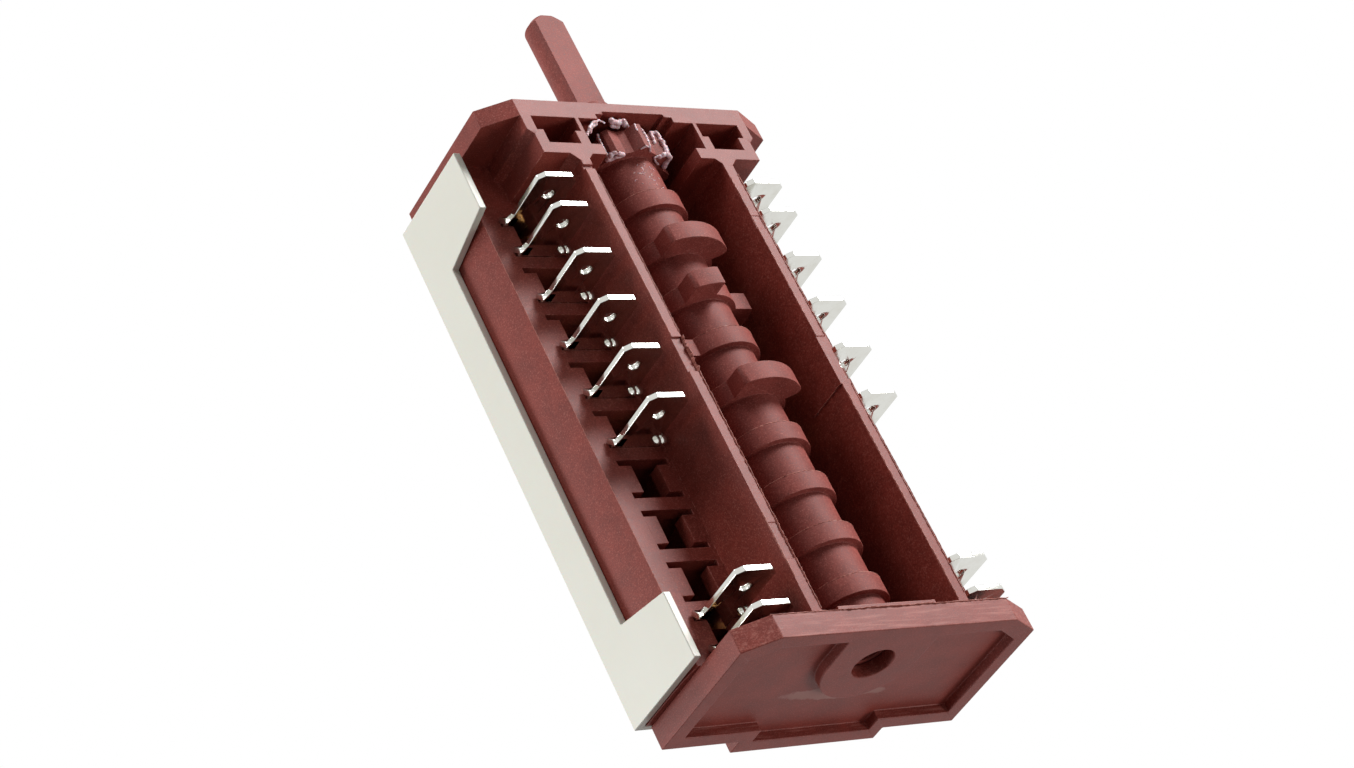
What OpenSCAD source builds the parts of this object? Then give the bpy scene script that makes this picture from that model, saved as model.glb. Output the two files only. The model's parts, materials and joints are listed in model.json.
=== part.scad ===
// Oven selector switch: a moulded trough with a nine-track cam drum, two rows of
// blade terminals, flexing contact blades below the shelves and a pale base cover.
// Frame: origin on the cam axis at the front face of the flange, midway between the
// two fixing holes. +Y runs to the rear plate, +Z is the open side, +X the cover skirt.

/* [Flange] */
// Width of the front flange
flange_w = 48.4; // [46:0.2:54]
// Height of the flange above the cam axis
flange_top = 7.6; // [7:0.1:10]
// Depth of the flange below the cam axis
flange_bottom = 15.7; // [15:0.1:20]
// Thickness of the flange
flange_t = 3; // [2.4:0.1:4]
// Width of the chamfer on the upper corners
corner_w = 4.9; // [2:0.1:5.5]
// Height of the chamfer on the upper corners
corner_h = 2.75; // [1:0.05:4]
// Width of the foot below each plate
foot_w = 24; // [16:0.5:30]
// Height of the foot below each plate
foot_h = 2.4; // [1.5:0.1:4]
// Distance between the two fixing holes
screw_pitch = 28; // [27:0.5:29]
// Diameter of the fixing holes
screw_d = 4.3; // [4:0.1:4.8]
// Width of the pocket for a square nut
nut_w = 7.2; // [7:0.1:7.6]
// Thickness of the pocket for a square nut
nut_t = 2.4; // [2.2:0.1:2.6]
// Width of the pocket for the screw tip
tip_w = 5.2; // [4.5:0.1:6]
// Length of the pocket for the screw tip
tip_l = 2.2; // [1.5:0.1:3]

/* [Body] */
// Space between the last slot and the rear plate
rear_space = 1.45; // [1.2:0.05:4]
// Thickness of the rear plate
end_t = 3.5; // [3:0.1:5]
// Half of the inner width of the drum trough
trough_half = 11.3; // [10.8:0.1:12]
// Thickness of the trough walls
wall_t = 1.65; // [1.2:0.05:2]
// Depth of the shelf face below the cam axis
shelf_z = 2.7; // [2:0.1:4]
// Thickness of the shelf
shelf_t = 2; // [1.5:0.1:2.5]
// Width of the shelf beside a trough wall
shelf_w = 11.55; // [11.3:0.05:12]
// Bulge of the body side below the shelf edge
side_bulge = 0.5; // [0:0.05:0.7]
// Thickness of the body side walls
side_t = 1.9; // [1.4:0.1:2.2]
// Depth of the trough floor below the cam axis
floor_z = 11; // [9.5:0.1:11.5]
// Thickness of the trough floor
floor_t = 1.4; // [1:0.1:2]
// Thickness of the ribs between the contact chambers
rib_t = 1.1; // [0.8:0.1:1.4]
// Thickness of the cross rib behind the nut pockets
cross_t = 1.9; // [1.4:0.1:2.4]
// Thickness of the ribs beside the nut pockets
post_t = 1.7; // [1.2:0.1:2]
// Step in the ribs beside the nut pockets
post_step = 0.9; // [0.5:0.1:1.2]
// Flare at the front end of a trough wall
wall_flare = 1.2; // [0.5:0.1:2]
// Thickness of the inner rib beside the star wheel
inner_t = 0.65; // [0.5:0.05:1]
// Half of the gap between the stubs behind the star wheel
stub_half = 8; // [7.8:0.1:9]
// Half width of the relief in the back of the flange
relief_half = 6.5; // [5:0.1:7]
// Depth of the relief in the back of the flange
relief_t = 0.9; // [0.4:0.1:1.2]
// Width of the step in the relief
relief_step_w = 1.3; // [0.5:0.1:2]
// Depth of the step in the relief
relief_step_t = 0.5; // [0.2:0.1:1]

/* [Rear plate] */
// Width of the rim around the recess of the rear plate
rim_w = 2.3; // [1.5:0.1:3]
// Depth of the recess of the rear plate
recess_t = 1.4; // [0.8:0.1:2]
// Radius of the bearing boss in the recess
boss_r = 7.4; // [5:0.1:9]
// Half width of the bearing pad in front of the rear plate
pad_half = 8.1; // [6:0.1:10]
// Thickness of the bearing pad
pad_t = 0.9; // [0.5:0.1:1.2]
// Radius of the pegs that hold the rear plate
peg_r = 1.4; // [1:0.05:1.5]
// Length of the pegs that hold the rear plate
peg_l = 4.6; // [3:0.1:5]

/* [Contacts] */
// Number of cam tracks and terminal places a side
ways = 9; // [9:1:9]
// Distance from one cam track to the next
pitch = 8.1; // [8:0.05:8.4]
// Distance from the flange face to the first slot
first_slot = 12.95; // [12.8:0.05:13.5]
// Width of a terminal slot along X
slot_w = 8; // [7.6:0.1:8.4]
// Width of a terminal slot along Y
slot_gap = 0.9; // [0.85:0.05:1]
// Distance between the two slots of one place
slot_step = 5.2; // [5:0.1:5.4]
// Distance from a trough wall to the slots
slot_inset = 0.7; // [0.5:0.05:1]
// Width of the window between the two slots
window_w = 4.15; // [3:0.05:5]

/* [Terminals] */
// Width of the terminal blades
tab_w = 6.3; // [4.8:1.5:6.3]
// Thickness of the terminal blades
tab_t = 0.8; // [0.5:0.3:0.8]
// Height of the blade tips above the cam axis
tab_top = 7.5; // [7:0.1:9]
// Size of the chamfer on the blade tips
tab_chamfer = 1; // [0.5:0.1:1.3]
// Diameter of the hole in the blades
tab_hole_d = 1.8; // [1.4:0.1:2]
// Height of the blade holes above the cam axis
tab_hole_z = 3.85; // [3:0.05:5]
// Width of the terminal stem in its slot
stem_w = 7.6; // [6.5:0.1:7.7]
// Width of the terminal foot that carries a contact
foot_x = 3.2; // [2.8:0.1:3.6]
// Depth of the upper terminal foot below the cam axis
upper_foot_z = 7.3; // [6.9:0.1:7.6]
// Depth of the lower terminal foot below the cam axis
lower_foot_z = 10.95; // [10.8:0.05:11.4]

/* [Contact blades] */
// Width of the contact blades
blade_w = 2.8; // [2:0.1:3]
// Thickness of the contact blades
blade_t = 0.35; // [0.25:0.05:0.4]
// Gap between a contact blade and its cam ring
blade_gap = 0.3; // [0.2:0.05:0.5]
// Radius of the contact rivet heads
rivet_r = 1.25; // [1:0.05:1.4]
// Height of the contact rivet heads
rivet_h = 0.85; // [0.6:0.05:0.9]
// Drop of the contact blades from their root to their rivet
blade_drop = 0.55; // [0.4:0.05:0.8]

/* [Camshaft] */
// Diameter of the round root of the knob shaft
shaft_d = 6.3; // [6.3:0.1:6.8]
// Diameter of the knob shaft beside its flat
dee_d = 5.9; // [5.8:0.1:5.9]
// Size of the knob shaft across its flat
flat_d = 4.6; // [4:0.1:5]
// Reach of the knob shaft in front of the flange
shaft_l = 23; // [12:0.5:40]
// Chamfer on the end of the knob shaft
shaft_chamfer = 1.1; // [0.5:0.1:1.5]
// Length of the round stretch at the root of the knob shaft
round_l = 5; // [4:0.5:9]
// Radius of the drum between its rings
core_r = 4.9; // [4.4:0.1:5.2]
// Radius of the cam rings
ring_r = 5.8; // [5.4:0.1:6.2]
// Width of the cam rings
ring_w = 2.8; // [2.2:0.1:3.2]
// Radius of the cam lobes
lobe_r = 8.3; // [7.6:0.05:8.8]
// Distance of the straight lobe faces from the cam axis
lobe_face = 4.2; // [3.5:0.1:5]
// Angle from the top to the far face of a long lobe
lobe_angle = 51; // [30:1:60]
// Radius of the outer corners of the lobes
lobe_round = 1; // [0.5:0.1:1.5]
// Height of the lug faces above the cam axis
lug_h = 2.9; // [2:0.1:4]
// Half width of the lobes at the two ends of the drum
end_lobe_half = 2.8; // [2:0.1:3.5]
// Radius of the star wheel tips
star_r = 7.3; // [6.8:0.1:7.4]
// Height of the star wheel valleys above the drum
star_root = 1; // [0.5:0.1:1.2]
// Half width of the star wheel teeth at their tips
tip_half = 0.45; // [0.3:0.05:0.6]
// Half width of the star wheel teeth at their roots
root_half = 1.5; // [1.2:0.05:1.6]
// Width of the star wheel
star_w = 4; // [3:0.1:4.2]
// Number of teeth on the star wheel
star_teeth = 9; // [9:1:9]
// Thickness of the detent spring
leaf_t = 0.4; // [0.3:0.05:0.5]
// Half width of the nose of the detent spring
leaf_nose = 0.5; // [0.3:0.05:0.6]
// Length of the flat ends of the detent spring
leaf_end = 1.5; // [1:0.1:2.5]
// Diameter of the journal in the flange
journal_d = 7.2; // [6.6:0.1:8]
// Depth of the seat of the drum in the rear plate
seat_t = 1.5; // [0.8:0.1:1.6]
// Diameter of the hole through the rear plate
rear_hole_d = 6; // [4:0.1:7]
// Diameter of the blind hole in the rear end of the drum
core_hole_d = 5; // [3:0.1:6]
// Depth of the blind hole in the rear end of the drum
core_hole_l = 14; // [4:0.5:18]
// Running clearance of the camshaft in its two bearings
bearing_gap = 0.05; // [0.02:0.01:0.1]

/* [Base cover] */
// Thickness of the base cover
cover_t = 1; // [0.8:0.1:1.4]
// Thickness of the cover skirt
skirt_t = 1.1; // [0.8:0.1:1.4]
// Depth of the skirt edge below the cam axis
skirt_z = 10.3; // [9:0.1:12]
// Depth of the front skirt ear below the cam axis
front_ear_z = 0; // [0:0.1:2]
// Depth of the rear skirt ear below the cam axis
rear_ear_z = 0.6; // [0:0.1:2]
// Length of the skirt ears at their tips
ear_l = 9.8; // [6:0.1:12]
// Slope of the inner edge of the skirt ears
ear_slope = 2; // [0:0.1:4]
// Radius of the cover pegs
pin_r = 1; // [0.8:0.05:1.2]
// Distance of the cover pegs from the middle plane
pin_x = 8; // [5:0.1:9]
// Distance from the flange to the front cover pegs
pin_front = 21; // [12:0.5:30]
// Distance from the rear plate to the rear cover pegs
pin_rear = 16; // [12:0.5:30]

/* [Hidden] */
$fn = 64;
// Small overlap of joined shapes and reach of cuts past a face
lap = 0.4;
// Clearance between pieces that lie side by side
clear = 0.1;
body_y0 = flange_t;
body_y1 = slot_y(ways - 1) + slot_step + slot_gap + rear_space;
length = body_y1 + end_t;
body_bottom = flange_bottom - 0.25;
under_floor = floor_z + floor_t;
sole_front = 6;
sole_rear = 7;
wall_out = trough_half + wall_t;
shelf_half = wall_out + shelf_w;
side_half = shelf_half + side_bulge;
bulge_h = 6;
slot_x = wall_out + slot_inset + slot_w / 2;
chamber_x1 = shelf_half - side_t;
track_inset = 2.3;
track_y = first_slot + track_inset;
bus_ways = 5;
wired_ways = [0, 1, 2, 3, 4, 8];
cover_z0 = body_bottom + clear;
stem_in = slot_x - stem_w / 2;
stem_out = slot_x + stem_w / 2;
shoulder_h = 0.9;
stem_end = -shelf_z - shelf_t - 0.4;
tab_y = (slot_gap - tab_t) / 2;
upper_out = stem_out;
upper_in = stem_out - foot_x;
rivet_x = stem_in + foot_x / 2;
cross_y0 = flange_t + nut_t + tip_l + 0.1;
cross_y1 = cross_y0 + cross_t;
wall_y0 = cross_y1 + 2;
chamber_end = 1.2;
pocket_z = -nut_w / 2 - clear;
dee_r = dee_d / 2;
flat_h = flat_d - dee_r;
drum_y0 = flange_t + clear;
drum_y1 = body_y1 + seat_t - clear;
star_y0 = flange_t + 0.3;
star_turn = -1;
tooth_angle = 360 / star_teeth;
leaf_gap = 0.25;
leaf_inset = 0.5;
inner_x = screw_pitch / 2 - nut_w / 2 - inner_t;
nose_r = ring_r + blade_gap;
pin_places = [[pin_x, body_y0 + pin_front], [pin_x, body_y1 - pin_rear]];
pin_wall = 1.1;
peg_x = 7;
peg_z = -(floor_z + body_bottom) / 2;
side_names = ["left", "right"];

// Tracks with a long or a short lobe on top, with a lug to one side, and with a lobe below
long_lobes = [1, 4];
short_lobes = [2];
lugs = [[2, -1], [3, 1]];
low_lobes = [0, 8];

// A box from its lowest to its highest corner
module box(low, high) {
    translate(low) cube([for (i = [0:2]) high[i] - low[i]]);
}

// A cylinder along Y from y0 to y1
module rod(r, y0, y1) {
    translate([0, y0, 0]) rotate([-90, 0, 0]) cylinder(r = r, h = y1 - y0);
}

// A flat shape drawn in X and Z, given the thickness from y0 to y1
module slab(y0, y1) {
    translate([0, y1, 0]) rotate([90, 0, 0]) linear_extrude(y1 - y0) children();
}

// The same shape on the left, or turned over to the right side
module on_side(side) {
    if (side == "left") children();
    else mirror([1, 0, 0]) children();
}

module both_sides() {
    children();
    mirror([1, 0, 0]) children();
}

// Y of the front slot of a terminal place, counted from 0
function slot_y(way) = first_slot + way * pitch;

// Outline of the flange and the rear plate, with the foot below, drawn in by inset
module plate_outline(inset = 0) {
    half = flange_w / 2 - inset;
    flat = flange_w / 2 - corner_w - inset * 0.55;
    top = flange_top - inset;
    bottom = -flange_bottom + inset;
    foot = foot_w / 2 - inset;
    polygon([
        [-half, bottom], [-foot, bottom], [-foot, bottom - foot_h], [foot, bottom - foot_h],
        [foot, bottom], [half, bottom], [half, flange_top - corner_h - inset * 0.8],
        [flat, top], [-flat, top], [-half, flange_top - corner_h - inset * 0.8]
    ]);
}

// Section of the body below the shelf face, with its bulged sides
module body_section() {
    mid = side_half - side_bulge / 5;
    polygon([
        [-shelf_half, -shelf_z], [-mid, -shelf_z - bulge_h / 2], [-side_half, -shelf_z - bulge_h],
        [-side_half, -body_bottom], [side_half, -body_bottom], [side_half, -shelf_z - bulge_h],
        [mid, -shelf_z - bulge_h / 2], [shelf_half, -shelf_z]
    ]);
}

// Ribs that box in the nut pocket, the stub beside the star wheel and the root of a trough wall
module pocket_ribs() {
    x1 = screw_pitch / 2 + nut_w / 2 + post_t;
    y_step = flange_t + nut_t;
    translate([0, 0, -shelf_z - lap]) linear_extrude(flange_top + shelf_z + lap) polygon([
        [inner_x, flange_t - lap], [x1, flange_t - lap], [x1, y_step],
        [x1 - post_step, y_step + post_step], [x1 - post_step, cross_y1],
        [wall_out + wall_flare, cross_y1], [wall_out, cross_y1 + wall_flare], [wall_out, wall_y0],
        [trough_half, wall_y0], [trough_half, cross_y1 + post_step],
        [trough_half - post_step, cross_y1], [stub_half, cross_y1], [stub_half, cross_y0],
        [inner_x, cross_y0]
    ]);
}

// Space for the square nut and for the tip of its screw
module pocket_cut() {
    x0 = screw_pitch / 2 - nut_w / 2;
    x1 = screw_pitch / 2 + nut_w / 2;
    box([x0, flange_t, pocket_z], [x1, flange_t + nut_t, flange_top + 1]);
    box([screw_pitch / 2 - tip_w / 2, flange_t, pocket_z],
        [screw_pitch / 2 + tip_w / 2, cross_y0, flange_top + 1]);
}

// Slots and window of one terminal place, cut through the shelf
module place_cut(way) {
    y0 = slot_y(way);
    for (y = [y0, y0 + slot_step])
        box([slot_x - slot_w / 2, y, -shelf_z - shelf_t - 1],
            [slot_x + slot_w / 2, y + slot_gap, -shelf_z + 1]);
    box([slot_x - window_w / 2, y0, -shelf_z - shelf_t - 1],
        [slot_x + window_w / 2, y0 + slot_step + slot_gap, -shelf_z + 1]);
}

// Contact chamber of one place, open at the underside
module chamber_cut(way) {
    y0 = slot_y(way) + slot_step + slot_gap - pitch + (pitch - slot_step - slot_gap + rib_t) / 2;
    y1 = way == ways - 1 ? body_y1 - chamber_end : y0 + pitch - rib_t;
    box([wall_out, y0, -body_bottom - 1], [chamber_x1, y1, -shelf_z - shelf_t]);
}

// Window through a trough wall that lets a contact blade reach the drum
module blade_window(way) {
    y_mid = track_y + way * pitch;
    box([trough_half - 1, y_mid - blade_w / 2 - lap, -floor_z],
        [wall_out + 1, y_mid + blade_w / 2 + lap, -shelf_z - shelf_t - 0.3]);
}

module housing() {
    color("sienna") difference() {
        union() {
            slab(0, flange_t) plate_outline();
            difference() {
                slab(body_y0 - lap, body_y1) body_section();
                box([-trough_half, body_y0, -floor_z], [trough_half, body_y1 + 1, 1]);
            }
            both_sides() {
                box([trough_half, cross_y1, -shelf_z - lap], [wall_out, body_y1, flange_top]);
                box([inner_x, flange_t - lap, -floor_z - lap], [trough_half + lap, cross_y0, -shelf_z]);
                pocket_ribs();
            }
        }
        rod(journal_d / 2 + bearing_gap, -1, flange_t + 1);
        box([-relief_half, flange_t - relief_t, -floor_z], [relief_half, flange_t + 1, flange_top + 1]);
        box([-relief_half + relief_step_w, flange_t - relief_t - relief_step_t, -floor_z],
            [relief_half - relief_step_w, flange_t, flange_top + 1]);
        box([-trough_half, flange_t + sole_front, -body_bottom - 1],
            [trough_half, body_y1 - sole_rear, -under_floor]);
        both_sides() {
            translate([screw_pitch / 2, 0, 0]) rod(screw_d / 2, -1, flange_t + 1);
            pocket_cut();
            for (way = [0:ways - 1]) {
                place_cut(way);
                chamber_cut(way);
            }
            for (way = wired_ways) blade_window(way);
            box([upper_in - 2 * clear, slot_y(0) + 2, -body_bottom - 1],
                [chamber_x1, slot_y(bus_ways - 1) + 2, -upper_foot_z + tab_t + clear]);
            translate([peg_x, 0, peg_z]) rod(peg_r + bearing_gap, body_y1 - peg_l - clear, body_y1 + 1);
        }
    }
    color("sienna") both_sides() for (p = pin_places) difference() {
        translate([p[0], p[1], -body_bottom]) cylinder(r = pin_r + pin_wall, h = body_bottom - under_floor + lap);
        translate([p[0], p[1], -body_bottom - 1]) cylinder(r = pin_r + bearing_gap, h = body_bottom - under_floor + 1);
    }
}

module end_plate() {
    color("sienna") difference() {
        union() {
            difference() {
                slab(body_y1, length) plate_outline();
                difference() {
                    slab(length - recess_t, length + 1) plate_outline(rim_w);
                    rod(boss_r, body_y1, length + 2);
                    box([-boss_r, length - recess_t - 1, 0], [boss_r, length + 2, flange_top]);
                }
            }
            box([-pad_half, body_y1 - pad_t, -floor_z + clear], [pad_half, body_y1 + lap, flange_top - 0.6]);
            both_sides() translate([peg_x, 0, peg_z]) rod(peg_r, body_y1 - peg_l, body_y1 + lap);
        }
        rod(core_r + bearing_gap, body_y1 - pad_t - 1, body_y1 + seat_t);
        rod(rear_hole_d / 2, body_y1, length + 1);
    }
}

module base_cover() {
    skirt_in = side_half + clear;
    y0 = body_y0 + clear;
    y1 = body_y1 - clear;
    low = -cover_z0 - cover_t;
    color("whitesmoke") union() {
        box([-shelf_half, y0, low], [skirt_in + lap, y1, -cover_z0]);
        translate([skirt_in, 0, 0]) rotate([90, 0, 90]) linear_extrude(skirt_t) polygon([
            [y0, low], [y1, low], [y1, -rear_ear_z], [y1 - ear_l, -rear_ear_z],
            [y1 - ear_l - ear_slope, -skirt_z], [y0 + ear_l + ear_slope, -skirt_z],
            [y0 + ear_l, -front_ear_z], [y0, -front_ear_z]
        ]);
        both_sides() for (p = pin_places)
            translate([p[0], p[1], -cover_z0 - lap]) cylinder(r = pin_r, h = cover_z0 - under_floor + lap - clear);
    }
}

// The point at the given distance and angle from the top, clockwise as seen from the rear
function polar(r, angle) = [r * sin(angle), r * cos(angle)];

// A lobe over the top of the drum, from its straight face to the far face at the given angle,
// with rounded outer corners; at angle 0 the far face ends in a sharp edge
module top_lobe(y0, angle) {
    y1 = y0 + ring_w;
    round_r = lobe_r - lobe_round;
    near = [lobe_face - lobe_round, sqrt(pow(round_r, 2) - pow(lobe_face - lobe_round, 2))];
    near_angle = atan2(near[0], near[1]);
    turn = angle > 0 ? asin(lobe_round / round_r) : 0;
    distant = polar(round_r, turn - angle);
    intersection() {
        rod(lobe_r, y0, y1);
        slab(y0, y1) polygon([
            [0, 0], [lobe_face, 0], [lobe_face, near[1]], near, polar(2 * lobe_r, near_angle),
            polar(2 * lobe_r, turn - angle), distant, polar(round_r * cos(turn), -angle)
        ]);
    }
    translate([near[0], 0, near[1]]) rod(lobe_round, y0, y1);
    if (angle > 0) translate([distant[0], 0, distant[1]]) rod(lobe_round, y0, y1);
}

// One ring of the drum and the lobes on it
module cam_track(way) {
    y0 = track_y + way * pitch - ring_w / 2;
    y1 = y0 + ring_w;
    reach = lobe_r + 1;
    rod(ring_r, y0, y1);
    for (i = long_lobes) if (i == way) top_lobe(y0, lobe_angle);
    for (i = short_lobes) if (i == way) top_lobe(y0, 0);
    for (lug = lugs) if (lug[0] == way) intersection() {
        rod(lobe_r, y0, y1);
        box([min(0, lug[1] * reach), y0, -lug_h], [max(0, lug[1] * reach), y1, lug_h]);
    }
    for (i = low_lobes) if (i == way) intersection() {
        rod(lobe_r, y0, y1);
        box([-end_lobe_half, y0, -reach], [end_lobe_half, y1, 0]);
    }
}

// A point beside the middle of a tooth that stands at the given angle from the top
function tooth_point(across, out, angle) =
    [across * cos(angle) + out * sin(angle), out * cos(angle) - across * sin(angle)];

// Star wheel that the detent spring presses on
module star_wheel() {
    root_r = core_r + star_root;
    slab(star_y0, star_y0 + star_w) polygon([
        for (i = [0:star_teeth - 1])
            for (p = [[-root_half, root_r], [-tip_half, star_r], [tip_half, star_r], [root_half, root_r]])
                tooth_point(p[0], p[1], star_turn + i * tooth_angle)
    ]);
}

module camshaft() {
    color("rosybrown") difference() {
        union() {
            rod(dee_r, -shaft_l + shaft_chamfer, -round_l + lap);
            translate([0, -shaft_l + shaft_chamfer, 0]) rotate([90, 0, 0])
                cylinder(r1 = dee_r, r2 = dee_r - shaft_chamfer, h = shaft_chamfer);
            rod(shaft_d / 2, -round_l, lap);
            rod(journal_d / 2, 0, drum_y0 + lap);
            rod(core_r, drum_y0, drum_y1);
            star_wheel();
            for (way = [0:ways - 1]) cam_track(way);
        }
        box([-dee_r - 1, -shaft_l - 1, flat_h], [dee_r + 1, -round_l, dee_r + 1]);
        rod(core_hole_d / 2, drum_y1 - core_hole_l, drum_y1 + 1);
    }
}

// Leaf spring below the star wheel: its ends lie on the trough floor, its nose stands in
// the lowest valley of the wheel
module detent_spring() {
    end_x = min(inner_x, trough_half) - clear;
    knee = 2.1;
    low = -floor_z + clear;
    nose_z = -core_r - star_root - leaf_gap - clear;
    half = [
        [leaf_nose, nose_z], [leaf_nose + knee, nose_z - knee],
        [end_x - leaf_end, low + leaf_t], [end_x, low + leaf_t],
        [end_x, low], [end_x - leaf_end, low],
        [leaf_nose + knee - 0.55 * leaf_t, nose_z - knee - 0.86 * leaf_t],
        [leaf_nose - 0.4 * leaf_t, nose_z - leaf_t]
    ];
    color("silver") slab(star_y0 + leaf_inset, star_y0 + star_w - leaf_inset)
        polygon([for (p = half) p, for (i = [7:-1:0]) [-half[i][0], half[i][1]]]);
}

// Upright plate of a terminal: blade, shoulders and stem, standing in a slot
module terminal_plate(y0, foot_in, foot_out, foot_z) {
    shoulder_z = -shelf_z + shoulder_h;
    difference() {
        slab(y0 + tab_y, y0 + tab_y + tab_t) polygon([
            [foot_in, -foot_z], [foot_out, -foot_z], [foot_out, stem_end],
            [stem_out, stem_end], [stem_out, shoulder_z],
            [slot_x + tab_w / 2, shoulder_z], [slot_x + tab_w / 2, tab_top - tab_chamfer * 0.8],
            [slot_x + tab_w / 2 - tab_chamfer, tab_top],
            [slot_x - tab_w / 2 + tab_chamfer, tab_top],
            [slot_x - tab_w / 2, tab_top - tab_chamfer * 0.8], [slot_x - tab_w / 2, shoulder_z],
            [stem_in, shoulder_z], [stem_in, stem_end], [foot_in, stem_end]
        ]);
        translate([slot_x, 0, tab_hole_z]) rod(tab_hole_d / 2, y0 - 1, y0 + 2);
    }
}

// Terminal that carries the fixed contact on a low foot
module output_terminal(way) {
    y0 = slot_y(way) + slot_step;
    color("gainsboro") union() {
        terminal_plate(y0, stem_in, stem_in + foot_x, lower_foot_z);
        box([stem_in, track_y + way * pitch - blade_w / 2, -lower_foot_z],
            [stem_in + foot_x, y0 + tab_y + lap, -lower_foot_z + tab_t]);
    }
}

// Terminal that carries the roots of one or more contact blades on a high foot
module feed_terminal(way, last_way) {
    y0 = slot_y(way);
    color("gainsboro") union() {
        terminal_plate(y0, upper_in, upper_out, upper_foot_z);
        box([upper_in, y0 + tab_y, -upper_foot_z],
            [upper_out, track_y + last_way * pitch + blade_w / 2, -upper_foot_z + tab_t]);
    }
}

// Flexing contact blade from the foot to its nose beside a cam ring
module contact_blade(way) {
    y_mid = track_y + way * pitch;
    z0 = -upper_foot_z;
    z1 = z0 - blade_drop;
    nose = nose_r / sqrt(2);
    t = blade_t;
    seat = rivet_r + 0.4;
    knee_x = wall_out - 3.4;
    tail = 1.35;
    color("peru") slab(y_mid - blade_w / 2, y_mid + blade_w / 2) polygon([
        [upper_out - clear, z0], [upper_in - 1, z0], [rivet_x + seat, z1], [rivet_x - seat, z1],
        [knee_x, z1], [nose + 0.9, -nose], [nose, -nose], [nose - 1, -nose - tail],
        [nose - 1 + t, -nose - tail - t], [nose + 0.25, -nose - 0.45], [nose + 0.7, -nose - 0.4],
        [knee_x - clear, z1 - t], [rivet_x - seat, z1 - t], [rivet_x + seat, z1 - t],
        [upper_in - 1, z0 - t], [upper_out - clear, z0 - t]
    ]);
}

// Rivet heads under the contact blades
module moving_contacts() {
    color("silver") for (way = wired_ways)
        translate([rivet_x, track_y + way * pitch, -upper_foot_z - blade_drop - blade_t - rivet_h])
            cylinder(r = rivet_r, h = rivet_h);
}

// Rivet heads on the low terminal feet
module fixed_contacts() {
    color("silver") for (way = wired_ways)
        translate([rivet_x, track_y + way * pitch, -lower_foot_z + tab_t])
            cylinder(r = rivet_r, h = rivet_h);
}

housing();
end_plate();
base_cover();
camshaft();
detent_spring();
for (side = side_names) {
    on_side(side) feed_terminal(0, bus_ways - 1);
    on_side(side) feed_terminal(ways - 1, ways - 1);
    for (way = wired_ways) {
        on_side(side) output_terminal(way);
        on_side(side) contact_blade(way);
    }
    on_side(side) moving_contacts();
    on_side(side) fixed_contacts();
}
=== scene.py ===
"""Looks of an oven selector switch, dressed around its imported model. Lengths are in metres, in the model's frame:
+Y runs from the flange to the rear plate, +Z is the open side with the cam drum, +X the side with the pale skirt."""
import json
import math
import random

import bmesh
import bpy
from mathutils import Matrix, Vector

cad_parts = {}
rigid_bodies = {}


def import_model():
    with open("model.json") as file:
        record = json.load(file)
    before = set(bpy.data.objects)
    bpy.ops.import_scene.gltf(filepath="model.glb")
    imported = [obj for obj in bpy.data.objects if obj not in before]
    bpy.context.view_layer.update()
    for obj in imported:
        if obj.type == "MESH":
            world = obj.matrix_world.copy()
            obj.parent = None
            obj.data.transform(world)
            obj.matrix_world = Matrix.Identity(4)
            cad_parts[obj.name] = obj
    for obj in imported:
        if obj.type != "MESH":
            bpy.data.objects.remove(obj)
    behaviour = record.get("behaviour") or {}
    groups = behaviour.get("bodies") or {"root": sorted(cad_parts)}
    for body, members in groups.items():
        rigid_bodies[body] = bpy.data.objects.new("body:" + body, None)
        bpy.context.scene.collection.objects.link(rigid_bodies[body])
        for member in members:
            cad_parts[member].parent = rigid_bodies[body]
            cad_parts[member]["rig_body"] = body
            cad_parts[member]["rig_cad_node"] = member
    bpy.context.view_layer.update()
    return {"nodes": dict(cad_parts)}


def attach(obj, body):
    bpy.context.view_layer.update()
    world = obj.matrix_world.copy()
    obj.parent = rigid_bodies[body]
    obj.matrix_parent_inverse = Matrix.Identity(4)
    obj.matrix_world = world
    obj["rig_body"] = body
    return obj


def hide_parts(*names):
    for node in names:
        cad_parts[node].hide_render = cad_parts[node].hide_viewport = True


MM = 0.001

# Camera of the photograph
CAMERA_PLACE = (264.65 * MM, 252.69 * MM, 260.05 * MM)
CAMERA_TURN = (45.738, -27.702, 153.631)
CAMERA_LENS = 85.65

# Long pale patch on the rear plate: its middle, its half sizes and its turn, in mm and degrees
PATCH_PLACE = (0.4, 87.4, -8.2)
PATCH_REACH = (9.0, 2.5, 1.3)
PATCH_TURN = 2.0

# Hole and root of the terminal blades, in mm
HOLE_X = 17.65
HOLE_Z = 3.85
HOLE_R = 0.9
BLADE_MIN_Z = 5.0
PIP_X = 14.5
PIP_Z = -1.35
LUG_X = 20.85
LUG_Z = -1.75

# Tops of the trough walls, in mm
WALL_TOP = 7.6
WALL_IN = 11.3
WALL_OUT = 12.95

# Rings of the drum, in mm
RING_R = 5.8
RING_FIRST = 13.85
RING_PITCH = 8.1
RING_COUNT = 9


def srgb(red, green, blue):
    """Linear colour with full alpha of a colour given as it looks, from 0 to 255."""
    def linear(level):
        part = level / 255
        return part / 12.92 if part <= 0.04045 else ((part + 0.055) / 1.055) ** 2.4
    return (linear(red), linear(green), linear(blue), 1.0)


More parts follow.
